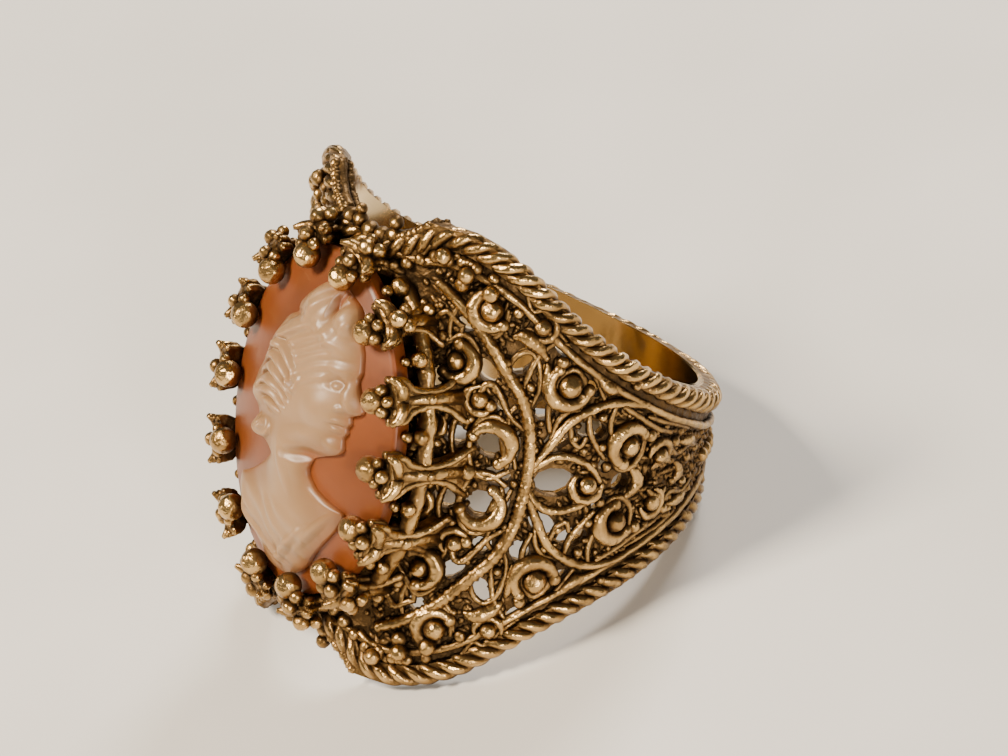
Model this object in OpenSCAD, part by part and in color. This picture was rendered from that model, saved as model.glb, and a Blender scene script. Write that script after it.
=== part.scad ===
// Cameo ring: a wide openwork band with raised edges and a claw setting that holds an oval cameo.
// It lies as it rests by itself, on its two lower ear lobes and the back of the band.
// The origin is the middle of the finger hole.

/* [Band] */
// Diameter of the finger hole, a US size 8
finger_d = 18.1; // [15.7:0.1:20.6]
// Thickness of the pierced plate
plate_t = 0.8; // [0.7:0.1:1.1]
// Half the height of the face, from its middle to the rope on an ear lobe
ear_half = 10.8; // [10:0.1:12]
// Half the height of the band at its back, to the rope
back_half = 1.7; // [1.4:0.1:2.4]
// Height of the band over the middle of the setting, at the bottom of the dip between its ear lobes
dip_h = 8.95; // [8.95:0.05:9.4]
// Radius of that dip
dip_r = 6; // [5.5:0.1:7]
// Width of the rope rail on each edge
rope_d = 1; // [0.8:0.05:1.2]
// Width of the curled wires
wire_w = 0.36; // [0.3:0.02:0.5]
// Height of the curled wires above the plate
wire_h = 0.35; // [0.2:0.05:0.5]

/* [Setting] */
// Number of claws round the cameo
claw_count = 14; // [10:2:16]
// Diameter of the ball on each claw
claw_ball_d = 1.3; // [1:0.05:1.4]
// Height of those balls above the finger axis
claw_h = 11.7; // [11.7:0.05:12]
// Thickness of a claw's stem
stem_t = 0.7; // [0.5:0.05:0.9]

/* [Cameo] */
// Width of the shell
cameo_w = 12.9; // [12:0.1:13]
// Length of the shell
cameo_l = 16.9; // [16:0.1:17]
// Height of the shell's rim above the finger axis
rim_h = 10.7; // [10.6:0.05:10.8]
// Thickness of the shell at its rim
rim_t = 0.8; // [0.6:0.05:0.8]
// Rise of the shell from its rim to its middle
dome_rise = 1.5; // [1.2:0.1:1.7]
// Height of the carving over the shell, as a share of its drawn height
relief = 1; // [0.7:0.05:1.2]

/* [Hidden] */

bore_r = finger_d / 2;
plate_r = bore_r + plate_t;
rail_out_r = bore_r + rope_d;
wire_r = plate_r + wire_h;
ball_track = plate_r + 0.2;
through = 4 * ear_half;
smooth_fn = 120;
round_fn = 32;

// Edge of the band: angle from the front, share of the way from the back's half height to the ears'
EDGE = [
    [0, 1], [36, 1], [44, 0.955], [52, 0.88], [60, 0.76],
    [70, 0.615], [80, 0.495], [90, 0.395], [105, 0.265], [125, 0.13], [150, 0.035], [180, 0]
];

// Curls of the upper near quarter, repeated below and on the far side: angle, height, radius, open side
CURLS = [
    [51, 1.5, 0.95, 130], [69, 4.9, 0.95, -60], [45, 8, 0.85, -25], [90, 1.9, 0.9, 35], [38, 5.2, 0.85, 200]
];
// How far from its middle a curl is cut open, as a share of its radius
CURL_CUT = 0.3;

// Balls of the same quarter: angle, height, radius
BALLS = [
    [45, 8, 0.55], [69, 4.9, 0.6], [90, 1.9, 0.5], [46, 3.6, 0.42],
    [59, 7.6, 0.42], [38, 5.2, 0.45], [34, 2, 0.42]
];
// Balls on the middle line: angle, radius
MIDDLE_BALLS = [[79, 0.45], [46, 0.42]];

// Gaps of the same quarter: angle, height, half width, half height, turn
GAPS = [
    [51, 1.5, 0.75, 0.7, 0], [64, 3.6, 0.5, 0.65, 30], [69, 2.15, 0.95, 0.5, -40],
    [55.3, 5.8, 0.5, 0.8, 30], [46.2, 5, 0.8, 0.45, 40], [78, 2.7, 0.8, 0.5, 10],
    [57.2, 1.4, 0.32, 1, 0], [76, 4.75, 0.6, 0.35, 30], [53.4, 3.5, 0.5, 0.5, 0],
    [41.5, 3.6, 0.5, 0.6, 0], [62, 5.3, 0.4, 0.5, 0], [41, 1.6, 0.6, 0.5, 0],
    [84.5, 1, 0.45, 0.5, 0], [38.5, 7.1, 0.5, 0.5, 0], [33, 4, 0.4, 0.7, 0], [66, 6.6, 0.6, 0.3, 35]
];
// Gaps on the middle line: angle, half width, half height
MIDDLE_GAPS = [[70, 1.05, 0.75], [54, 0.7, 0.5], [90, 0.5, 0.5], [40.5, 0.6, 0.5], [99, 0.4, 0.4]];

// A claw's outline: half width, share of the way from its foot to the bar across its top
CLAW = [
    [1.2, 0], [1.2, 0.1], [0.65, 0.28], [0.42, 0.45], [0.42, 0.62],
    [0.6, 0.78], [0.95, 0.87], [1.05, 1.04], [0.55, 1]
];

edge_line = [for (row = EDGE) [row[0], back_half + row[1] * (ear_half - back_half)]];

// Side view of the band, grown by a margin and pulled through from one side to the other
module side_shape(grow) {
    top = [for (e = edge_line) [-(rail_out_r + 0.1) * cos(e[0]), e[1] + grow]];
    bottom = [for (i = [len(top) - 1 : -1 : 0]) [top[i].x, -top[i].y]];
    rotate([90, 0, 90])
        linear_extrude(height = 2 * rail_out_r + 2, center = true)
            polygon(concat(top, bottom));
}

// The same with the dips in its front, above and below the setting
module outline(grow) {
    difference() {
        side_shape(grow);
        for (up = [1, -1])
            translate([0, -plate_r / 2, up * (dip_h + dip_r)])
                rotate([90, 0, 0]) cylinder(h = plate_r, r = dip_r - grow, $fn = smooth_fn);
    }
}

// Round wall about the finger axis
module wall(inner, outer) {
    difference() {
        cylinder(h = through, r = outer, center = true, $fn = smooth_fn);
        cylinder(h = through + 2, r = inner, center = true, $fn = smooth_fn);
    }
}

// Raised rail along both edges, which the rope is wound on
module rail() {
    difference() {
        intersection() {
            wall(bore_r, rail_out_r);
            outline(rope_d / 2);
        }
        outline(-rope_d / 2);
    }
}

// Pushes a flat shape straight through the wall at one place on the band
module at_band(angle, z) {
    rotate([0, 0, angle])
        translate([0, -wire_r - 0.5, z])
            rotate([-90, 0, 0])
                linear_extrude(height = 3)
                    children();
}

module gap(angle, z, half_w, half_h, turn) {
    at_band(angle, z)
        rotate(turn)
            polygon([for (a = [0 : 36 : 324]) [half_w * cos(a), half_h * sin(a)]]);
}

module plate() {
    difference() {
        intersection() {
            wall(bore_r, plate_r);
            outline(0);
        }
        for (side = [1, -1]) {
            for (g = GAPS, up = [1, -1]) gap(side * g[0], up * g[1], g[2], g[3], side * up * g[4]);
            for (g = MIDDLE_GAPS) gap(side * g[0], 0, g[1], g[2], 0);
        }
    }
}

module curl(angle, z, r, turn) {
    at_band(angle, z)
        difference() {
            circle(r + wire_w / 2, $fn = round_fn);
            circle(r - wire_w / 2, $fn = round_fn);
            rotate(turn) translate([CURL_CUT * r, -2 * r]) square(4 * r);
        }
}

module ball(angle, z, r) {
    rotate([0, 0, angle]) translate([0, -ball_track, z]) sphere(r, $fn = round_fn);
}

module scrolls() {
    intersection() {
        wall(plate_r - 0.2, wire_r);
        union() {
            for (side = [1, -1], up = [1, -1], c = CURLS)
                curl(side * c[0], up * c[1], c[2], side > 0 ? up * c[3] : 180 - up * c[3]);
        }
    }
    for (side = [1, -1]) {
        for (b = BALLS, up = [1, -1]) ball(side * b[0], up * b[1], b[2]);
        for (b = MIDDLE_BALLS) ball(side * b[0], 0, b[1]);
    }
}

// Setting: here x runs across the ring, y along the finger and z away from the finger axis
stem_offset = 0.1 + stem_t / 2;
claw_inset = 0.45;
gallery_h = 9.3;
gallery_r = 0.35;

function oval(a, out) = [(cameo_w / 2 + out) * sin(a), (cameo_l / 2 + out) * cos(a)];

// Angles that cut the oval into equal stretches
OVAL_STEPS = 120;
oval_run = [for (i = 0, s = 0; i <= OVAL_STEPS;
    s = s + norm(oval(360 * (i + 1) / OVAL_STEPS, 0) - oval(360 * i / OVAL_STEPS, 0)), i = i + 1)
    [s, 360 * i / OVAL_STEPS]];
function oval_angle(share) = lookup(share * oval_run[OVAL_STEPS][0], oval_run);
// Direction of the outward normal, as a turn from the finger axis
function outward(a) = atan2(cameo_l * sin(a), cameo_w * cos(a));

module claw(share) {
    a = oval_angle(share);
    at = oval(a, stem_offset);
    foot = sqrt(pow(plate_r - 0.4, 2) - at.x * at.x);
    bar = claw_h - 0.35;
    points = [for (row = CLAW) [row[0], foot + row[1] * (bar - foot)]];
    translate([at.x, at.y, 0]) rotate([0, 0, -outward(a)]) {
        rotate([90, 0, 0])
            linear_extrude(height = stem_t, center = true)
                polygon(concat(points, [for (i = [len(points) - 1 : -1 : 0]) [-points[i].x, points[i].y]]));
        translate([0, 0.1, bar - 0.1])
            rotate([80, 0, 0]) cylinder(h = stem_offset + claw_inset, r = 0.3, $fn = round_fn);
        translate([0, -stem_offset - claw_inset, claw_h]) sphere(claw_ball_d / 2, $fn = round_fn);
    }
}

// Wire that runs round the setting and through every claw
module gallery() {
    n = 2 * claw_count;
    rings = [for (i = [0 : n - 1])
        let (a = oval_angle(i / n), at = oval(a, stem_offset), o = outward(a))
        [for (k = [0 : 3])
            [at.x + gallery_r * cos(90 * k) * sin(o), at.y + gallery_r * cos(90 * k) * cos(o),
                gallery_h - gallery_r * sin(90 * k)]]];
    polyhedron([for (ring = rings, p = ring) p],
        [for (i = [0 : n - 1], k = [0 : 3])
            [i * 4 + k, i * 4 + (k + 1) % 4, ((i + 1) % n) * 4 + (k + 1) % 4, ((i + 1) % n) * 4 + k]],
        convexity = 4);
}

module setting() {
    rotate([90, 0, 0]) {
        for (i = [0 : claw_count - 1]) claw((i + 0.5) / claw_count);
        gallery();
    }
}

module ring_body() {
    color("darkgoldenrod") at_rest() {
        plate();
        rail();
        scrolls();
        difference() {
            setting();
            cylinder(h = through, r = bore_r, center = true, $fn = smooth_fn);
        }
    }
}

// Dome of the shell: share of its half width, share of its rise
DOME_RINGS = [[1, 0], [0.94, 0.12], [0.75, 0.44], [0.5, 0.75], [0.25, 0.94]];
shell_sides = 36;

module shell(lift) {
    back = rim_h - rim_t;
    levels = concat([[0.97, back], [1, back + 0.2]],
        [for (d = DOME_RINGS) [d[0], rim_h + dome_rise * d[1] + lift]]);
    n = len(levels);
    m = shell_sides;
    points = [for (l = levels, k = [0 : m - 1]) [l[0] * oval(360 * k / m, 0).x, l[0] * oval(360 * k / m, 0).y, l[1]]];
    polyhedron(concat(points, [[0, 0, rim_h + dome_rise + lift]]),
        concat([[for (k = [0 : m - 1]) k]],
            [for (i = [0 : n - 2], k = [0 : m - 1])
                [i * m + (k + 1) % m, i * m + k, (i + 1) * m + k, (i + 1) * m + (k + 1) % m]],
            [for (k = [0 : m - 1]) [(n - 1) * m + (k + 1) % m, (n - 1) * m + k, n * m]]),
        convexity = 4);
}

module cameo_shell() {
    color("sandybrown") at_rest() rotate([90, 0, 0]) shell(0);
}

// Carving: outline as the left and right edge at each height
OUTLINE = [
    [-7.6, -0.5, 0.4], [-7.3, -1.2, 1.2], [-6.9, -1.7, 1.7], [-6.4, -2.3, 2.2], [-5.6, -3.1, 2.7],
    [-4.8, -3.5, 3.3], [-4.3, -3.8, 3.7], [-3.95, -3.65, 3.95], [-3.6, -2.9, 4.15], [-3.25, -2.3, 4.35],
    [-2.95, -1.85, 4.4], [-2.75, -1.6, 3.5], [-2.4, -1.2, 2.6], [-1.9, -0.75, 2.1], [-1.6, -0.5, 2],
    [-1.45, -0.9, 2.03], [-1.35, -1.7, 2.05], [-1.15, -2.15, 2.15], [-0.9, -2.35, 2.3], [-0.5, -2.3, 3.1],
    [-0.2, -2.5, 3.75], [0.1, -3.05, 3.95], [0.45, -3.3, 3.85], [0.7, -3.35, 3.8], [0.95, -3.3, 4.02],
    [1.2, -3.2, 3.9], [1.45, -3.1, 4.1], [1.8, -2.9, 3.95], [2, -2.8, 4.4], [2.2, -2.7, 4.6],
    [2.5, -2.65, 4.45], [3.3, -2.45, 3.95], [3.6, -2.3, 3.85], [3.9, -2.15, 3.93], [4.5, -1.8, 3.75],
    [4.8, -1.55, 3.65], [5.1, -1.05, 3.45], [5.6, -1.1, 3.25], [6.2, -0.75, 3], [6.6, -0.35, 2.65],
    [6.8, -0.15, 2.2], [7, 0.1, 1.6], [7.2, 0.4, 1.1]
];

// Soft swellings and hollows of the carving: x, y, half width, half height, turn, height
SWELLINGS = [
    // head, cheek, brow, jaw and chin
    [0.4, 3, 4.6, 4.6, 0, 0.5], [2.6, 1.6, 1.4, 1.4, 0, 0.28], [3.2, 3.85, 0.9, 0.45, -10, 0.14],
    [2.1, 0.2, 1.7, 0.6, 15, 0.16], [3.5, 0.15, 0.6, 0.5, 0, 0.2],
    // eye socket, eye and nose
    [3.05, 3.15, 0.8, 0.42, 0, -0.26], [3.1, 3.05, 0.4, 0.26, 0, 0.2], [3.95, 2.6, 0.5, 1, 20, 0.3],
    [3.6, 2.05, 0.3, 0.25, 0, 0.14],
    // lips and the line between them
    [3.7, 1.42, 0.5, 0.2, 0, 0.13], [3.65, 1, 0.45, 0.2, 0, 0.13], [3.5, 1.22, 0.55, 0.09, 0, -0.12],
    // ear and its hollow
    [0.8, 2.3, 0.45, 0.75, -10, 0.25], [0.88, 2.35, 0.22, 0.45, -10, -0.2],
    // shadow under the jaw, and the neck
    [2, -0.85, 1.7, 0.5, 12, -0.3], [0.6, -1.6, 1.8, 2.3, 15, 0.35], [0.8, -1.8, 0.4, 1.7, 25, 0.12],
    // chest, shoulder and the folds of the drape
    [0.6, -4.6, 3.2, 2.6, 0, 0.45], [-2.5, -4.9, 2, 1.8, 0, 0.4], [-1.3, -6.1, 3.2, 0.4, -22, 0.25],
    [1.3, -5.7, 2.4, 0.35, 48, 0.25], [2.8, -4.5, 2, 0.32, 52, 0.22],
    // front wave of hair, the lobes of the headdress and the notch between them
    [2.2, 4.9, 1.7, 0.6, -15, 0.3], [2.6, 5.95, 1, 1, 0, 0.5], [0.4, 6.1, 1.1, 1.2, -15, 0.45],
    [1.5, 6.7, 0.35, 1.2, -8, -0.8], [-0.9, 5.1, 0.7, 0.3, 35, -0.25],
    // waves combed back and rolled
    [-0.6, 4.5, 2, 0.5, 36, 0.3], [-1.3, 3.5, 0.6, 1.2, -22, 0.25], [-0.3, 3.4, 0.9, 0.26, 12, 0.25],
    [-0.4, 2.85, 1, 0.26, 12, 0.25], [-0.4, 2.3, 1, 0.26, 12, 0.25], [-1.2, 1.65, 1.2, 0.26, 20, 0.25],
    [-1.3, 1.05, 1.5, 0.3, 18, 0.25],
    // nape and the hanging knot
    [-2.4, 0.7, 1, 0.8, 0, 0.35], [-1.5, -0.75, 1, 0.65, 12, 0.5]
];

// Height of the carving's flat ground over the shell, and how softly it rolls off at its outline
carve_base = 0.42;
roll_power = 6;
carve_columns = 28;
// Heights of the carving's rows: close together over the face, wider over the bust and the headdress
carve_rows = concat([for (i = [0 : 16]) -7.6 + 0.36 * i], [for (i = [0 : 33]) -1.65 + 0.165 * i],
    [for (i = [0 : 11]) 4 + 0.29 * i]);

function dome(x, y) = rim_h + dome_rise * (1 - pow(2 * x / cameo_w, 2) - pow(2 * y / cameo_l, 2));
function swelling(x, y, s) =
    let (dx = x - s[0], dy = y - s[1],
        u = (dx * cos(s[4]) + dy * sin(s[4])) / s[2], v = (dy * cos(s[4]) - dx * sin(s[4])) / s[3],
        inside = max(0, 1 - u * u - v * v))
    s[5] * inside * inside;
function sum(v, i = 0, s = 0) = i == len(v) ? s : sum(v, i + 1, s + v[i]);
function carved(x, y, across, along) =
    let (roll = 1 - 0.45 * max(pow(abs(across), roll_power), pow(abs(along), 4 * roll_power)))
    max(0.12, (carve_base + sum([for (s = SWELLINGS) swelling(x, y, s)])) * roll);

module cameo_figure() {
    seat_gap = 0.03;
    left = [for (o = OUTLINE) [o[0], o[1]]];
    right = [for (o = OUTLINE) [o[0], o[2]]];
    low = carve_rows[0];
    high = carve_rows[len(carve_rows) - 1];
    // Spots of the grid: x, y, place across and along the carving, each from -1 to 1
    spots = [for (y = carve_rows, c = [0 : carve_columns])
        let (share = c / carve_columns)
        [lookup(y, left) * (1 - share) + lookup(y, right) * share, y, 2 * share - 1,
            2 * (y - low) / (high - low) - 1]];
    bottom = [for (p = spots) [p.x, p.y, dome(p.x, p.y) + seat_gap]];
    top = [for (p = spots) [p.x, p.y, dome(p.x, p.y) + relief * carved(p.x, p.y, p[2], p[3])]];
    n = carve_columns + 1;
    rows = len(carve_rows);
    count = n * rows;
    cells = [for (r = [0 : rows - 2], c = [0 : carve_columns - 1]) r * n + c];
    // Places along the outline, once round
    rim = concat([for (c = [0 : carve_columns - 1]) c], [for (r = [0 : rows - 2]) r * n + n - 1],
        [for (c = [carve_columns : -1 : 1]) (rows - 1) * n + c], [for (r = [rows - 1 : -1 : 1]) r * n]);
    color("antiquewhite") at_rest() rotate([90, 0, 0])
        polyhedron(concat(bottom, top),
            concat([for (q = cells) [q, q + 1, q + n + 1]], [for (q = cells) [q, q + n + 1, q + n]],
                [for (q = cells) [count + q, count + q + n + 1, count + q + 1]],
                [for (q = cells) [count + q, count + q + n, count + q + n + 1]],
                [for (i = [0 : len(rim) - 1]) [rim[(i + 1) % len(rim)], rim[i], count + rim[i]]],
                [for (i = [0 : len(rim) - 1])
                    [rim[(i + 1) % len(rim)], count + rim[i], count + rim[(i + 1) % len(rim)]]]),
            convexity = 6);
}

// Rest: how far the head tips up when the ring lies on its lower ear lobes and the back of its band
tilt = max([for (e = edge_line) atan2(e[1] - back_half, rail_out_r + bore_r * cos(e[0]))]);

module at_rest() {
    rotate([-tilt, 0, 0]) children();
}

ring_body();
cameo_shell();
cameo_figure();
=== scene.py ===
"""Looks of a cameo ring: openwork gold band, rope edges and a claw-set shell cameo, at rest on a floor."""
import math
import random

import bmesh
import bpy
from mathutils import Matrix, Vector
from mathutils.kdtree import KDTree


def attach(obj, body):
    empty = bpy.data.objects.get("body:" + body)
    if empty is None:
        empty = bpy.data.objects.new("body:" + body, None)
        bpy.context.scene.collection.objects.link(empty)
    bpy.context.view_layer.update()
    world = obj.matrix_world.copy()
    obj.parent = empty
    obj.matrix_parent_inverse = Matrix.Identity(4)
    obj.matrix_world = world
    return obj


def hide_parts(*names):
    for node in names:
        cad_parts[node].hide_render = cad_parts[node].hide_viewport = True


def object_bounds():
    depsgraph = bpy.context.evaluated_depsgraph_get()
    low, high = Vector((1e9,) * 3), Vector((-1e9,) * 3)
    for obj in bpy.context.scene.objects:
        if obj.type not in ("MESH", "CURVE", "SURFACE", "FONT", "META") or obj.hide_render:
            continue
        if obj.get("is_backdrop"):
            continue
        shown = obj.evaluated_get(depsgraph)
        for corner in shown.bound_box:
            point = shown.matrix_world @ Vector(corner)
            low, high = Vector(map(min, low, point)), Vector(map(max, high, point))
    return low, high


bl_info = {
    "name": "Cameo ring",
    "version": (1, 0, 0),
    "blender": (4, 5, 0),
    "location": "3D View > Sidebar > Ring",
    "description": "Builds the looks of a cameo ring round its packed frame",
    "category": "Object",
}

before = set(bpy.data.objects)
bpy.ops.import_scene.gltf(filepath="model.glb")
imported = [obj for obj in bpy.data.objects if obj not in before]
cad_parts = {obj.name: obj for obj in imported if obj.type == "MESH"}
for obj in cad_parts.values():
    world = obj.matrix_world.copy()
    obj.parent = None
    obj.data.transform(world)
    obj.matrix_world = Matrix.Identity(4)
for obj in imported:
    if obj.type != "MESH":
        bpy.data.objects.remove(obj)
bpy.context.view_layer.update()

MM = 0.001
TILT = math.radians(27.6899)
# The ring's own frame has the cameo toward -Y and the finger along Z; at rest it leans back
AT_REST = Matrix.Rotation(-TILT, 4, "X")
# Setting frame: x across the ring, y along the finger, z away from the finger axis
SETTING = AT_REST @ Matrix.Rotation(math.radians(90), 4, "X")
PLATE_R = 9.85
CAMEO_W = 12.9
CAMEO_L = 16.9
RIM_H = 10.7
RIM_T = 0.8
DOME_RISE = 1.5
CLAW_COUNT = 14
CLAW_H = 11.7
STEM_T = 0.7
GALLERY_H = 9.3
EAR_HALF = 10.8
BACK_HALF = 1.7
DIP_H = 8.95
DIP_R = 6
# Half the width of the solid's rail, and the ropes on it
RAIL_HALF = 0.5
ROPE_TRACK = 9.72
STRAND_OFFSET = 0.33
# Distance of the border wire from the edge line
BORDER_IN = 1.15
# Height of a claw's bar below its tip
BAR_DROP = 0.35
# Where the finger hole's polish fades out: distance from the axis, height along it, in metres
POLISH_OUT = (0.00935, 0.00925)
POLISH_UP = (0.0086, 0.0078)
FLOOR_GAP = 0.00002
# Width of the picture in pixels
PICTURE_WIDE = 1008

# Edge of the band: angle from the front, share of the way from the back's half height to the ears'
EDGE = [
    (0, 1), (36, 1), (44, 0.955), (52, 0.88), (60, 0.76),
    (70, 0.615), (80, 0.495), (90, 0.395), (105, 0.265), (125, 0.13), (150, 0.035), (180, 0),
]

# Scroll wires of the upper near quarter: radius, then angle and height of each spot
WIRES = [
    (0.33, [(61.9, -1.2), (62, 0), (61.7, 1.2), (60.3, 2.6), (57, 4), (52, 5.1), (46, 6.4),
            (41, 7.3), (35, 8.1), (29, 8.7)]),
    (0.25, [(61, 0.3), (64, 1.1), (67, 2), (71, 3.1), (77, 3.8), (84, 4.1), (94, 3.9)]),
    (0.22, [(61.5, 0), (64, 0.75), (68, 1.3), (73, 1.35), (79, 0.9), (83, 0.1)]),
    (0.2, [(60, 2.4), (55, 3), (51.5, 3.9), (49, 4.4), (46.5, 4.3), (45.6, 3.5), (47, 2.8)]),
    (0.2, [(57, 0.4), (52, -0.1), (47, 0.2), (45.2, 1.4), (47, 2.6), (51, 2.9), (56, 2.4)]),
    (0.18, [(44, 0.1), (41, 0.9), (40, 2), (42, 2.9), (44.5, 2.6)]),
    (0.18, [(31, 5.2), (35, 6), (39, 6.5), (43, 5.9), (44, 4.9), (41.5, 4.2)]),
    (0.18, [(33, 1.2), (36, 1.6), (38, 2.7), (37, 3.8), (34, 4.2)]),
    (0.18, [(66, 2.5), (64.5, 3.6), (66, 5.1), (69.5, 5.7), (73, 5.1), (73.8, 4)]),
    (0.18, [(86, 3.9), (92, 3.3), (99, 2.6), (106, 2.2)]),
    (0.18, [(84, 2.6), (85.5, 1.2), (90, 0.7), (94.5, 1.3), (95.5, 2.4)]),
    (0.18, [(76, 3.6), (77, 2.7), (80, 1.9), (83, 1.3)]),
    (0.18, [(41, 9), (40.6, 7.7), (44, 6.9), (48, 7.1), (49.4, 8.2)]),
    (0.17, [(30, 6.9), (33, 7.4), (36.5, 7), (38, 6.9)]),
    (0.16, [(59, 3.4), (61, 4.5), (60, 5.7), (57, 6.3), (53.5, 6), (51.5, 5.2)]),
    (0.16, [(56.4, 4), (57.6, 5.2), (59.5, 6.2), (63, 6.9), (67, 6.9)]),
    (0.16, [(36, 7.9), (34.5, 7), (35.2, 6.2), (37.4, 6.3), (38, 7)]),
    (0.16, [(42, 7), (43.6, 6.5), (46, 6.6), (48.5, 7.1), (50, 8)]),
    (0.16, [(71, 3), (72.6, 2.2), (75, 1.9), (76.5, 2.4)]),
    (0.16, [(84, 4.1), (83, 3.2), (84.5, 2.4), (87, 2.9)]),
    (0.16, [(66.5, 1.9), (67.5, 3), (70, 3.6), (73.5, 3.7)]),
    (0.16, [(31, 3), (34, 2.9), (36.5, 3.4), (38.6, 4.3)]),
    (0.16, [(43.5, 2), (44.6, 3.2), (43.4, 4.4), (40.8, 4.6)]),
    (0.16, [(58.6, 0.5), (57, 1.3), (54.8, 2.3), (54.5, 3.2), (56, 3.6)]),
    (0.15, [(53, 9.2), (55.5, 8.3), (59, 8.4), (62.5, 7.6), (66, 7)]),
    (0.15, [(69, 6.3), (73, 5.9), (76.5, 5.2), (80, 4.2)]),
    (0.15, [(95, 3.3), (101, 2.9), (107, 2.6), (115, 2.1)]),
    (0.15, [(97.5, 1.8), (104, 1.9), (110, 1), (117, 1.2), (123, 0.8)]),
]
# Leaves: half width at the middle, then angle and height of each spot
LEAVES = [
    (0.42, [(51.5, 6.9), (55, 7), (58.5, 6.7), (61.5, 6.1)]),
    (0.34, [(62, 5.9), (63, 5), (62.5, 4.2)]),
    (0.3, [(100, 0.5), (104, 1), (108, 0.6)]),
    (0.34, [(76, 5.5), (80, 4.9), (84, 4.6)]),
    (0.3, [(53, 1.9), (55.5, 1.2), (56, 0.4)]),
    (0.3, [(33, 9.5), (36, 9.9), (40, 9.9)]),
    (0.3, [(110, 1.6), (115, 1.5), (120, 1.3)]),
]
# Crescents across the middle line: half width, angle, how far it bows, half height
CRESCENTS = [(0.36, 94, 3, 0.9), (0.3, 112, 2, 0.6)]
# Curls over those of the solid band: angle, height, radius, open side
CURLS = [
    (51, 1.5, 0.95, 130), (69, 4.9, 0.95, -60), (45, 8, 0.85, -25), (90, 1.9, 0.9, 35),
    (38, 5.2, 0.85, 200),
]
# Half of the open side of a curl, in degrees
CURL_OPEN = 70
# Cups round smaller balls: angle, height, radius
CUPS = [(46, 3.6, 0.66), (102, 1.2, 0.66), (79, 0, 0.75), (34, 2, 0.66), (59, 7.6, 0.62)]
# Gaps in the band: angle, height, reach. Granules keep clear of them
GAPS = [
    (51, 1.5, 0.75), (64.3, 3.7, 0.65), (69, 2.15, 0.8), (55.3, 5.8, 0.7), (46.2, 5, 0.7),
    (78, 2.7, 0.7), (57.2, 1.4, 0.8), (76, 4.75, 0.5), (53.4, 3.5, 0.5), (41.5, 3.6, 0.6),
    (62, 5.3, 0.5), (41, 1.6, 0.6), (84.5, 1, 0.5), (38.5, 7.1, 0.5), (33, 4, 0.6), (66, 6.6, 0.5),
    (70, 0, 0.95), (54, 0, 0.65), (90, 0, 0.5), (40.5, 0, 0.55), (99, 0, 0.4),
]
# Granules given one by one: angle, height, radius
GRANULES = [
    (49, 3.4, 0.33), (42.5, 5.4, 0.33), (89, 4.9, 0.25), (42, 0.5, 0.33), (66, 6, 0.33), (36, 8.9, 0.4),
    (51, 5.6, 0.28), (62.5, 1.6, 0.26), (73, 4.4, 0.3), (97, 2.3, 0.33), (84, 0.9, 0.26),
    (40, 3.4, 0.33), (29, 3.6, 0.36), (30, 0.6, 0.36), (31, 9.8, 0.33), (44, 9.5, 0.3), (52, 8.1, 0.3),
    (28, 7.2, 0.33), (108, 1.7, 0.28), (116, 0.6, 0.25), (102, 1.2, 0.42), (58.6, 4.6, 0.25),
    (54, 4.6, 0.26), (47.6, 6, 0.26), (73, 2.3, 0.22), (81.5, 1.9, 0.26), (80, 3.4, 0.25),
    (36.6, 1, 0.28), (33, 6.2, 0.3), (44.4, 2.6, 0.25),
]

# A claw's outline: half width, share of the way from its foot to the bar across its top
CLAW = [
    (1.2, 0.05), (1.2, 0.1), (0.65, 0.28), (0.42, 0.45), (0.42, 0.62), (0.6, 0.78), (0.95, 0.87),
    (1.05, 1.04), (0.55, 1),
]
# A claw's horn: along the oval, outward, above the bar
HORN = [(0.1, 0.36, -0.35), (0.55, 0.4, -0.3), (0.9, 0.4, -0.05), (1.1, 0.34, 0.32)]
# Beads on the claws at both ends of the oval: along the oval, outward, above the bar, radius
TAIL_BEADS = [(0, 0.85, -0.35, 0.42), (0.38, 0.92, -0.78, 0.36), (-0.42, 0.9, -0.85, 0.36)]
# Beads between the claws: outward of the oval, height, radius
GALLERY_BEADS = [(0.6, 9.75, 0.42), (0.35, 10.35, 0.26)]
# Veins of an ear lobe: radius, then angle and height of each spot
VEINS = [
    (0.2, [(6, 8.6), (12, 9.2), (20, 9.3), (27, 9.6), (34, 10.2)]),
    (0.17, [(14, 9.2), (17, 9.9)]), (0.17, [(22, 9.35), (25, 10.3)]),
]
# Large beads at the foot of an ear lobe: angle, height
FOOT_BEADS = [(30, 10.05), (37, 9.455), (44, 8.86)]
# Degrees round a dip that a lobe's cut face takes up
CUT_FACE = range(20, 50, 2)
# Distance of the crest wire from the finger axis
CREST_TRACK = 9.5
# Crest on the band over the dips: angle, height, radius of each bead
CREST = [
    (-24, 10.1, 0.4), (-18, 9.9, 0.44), (-12.5, 9.7, 0.4), (-7.5, 9.65, 0.46), (-2.5, 9.8, 0.4),
    (2.5, 9.6, 0.46), (7.5, 9.7, 0.4), (12, 9.9, 0.44), (18, 10.1, 0.4), (24, 10.4, 0.4),
    (12, 10.55, 0.36), (-3, 10.3, 0.3),
]

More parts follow.
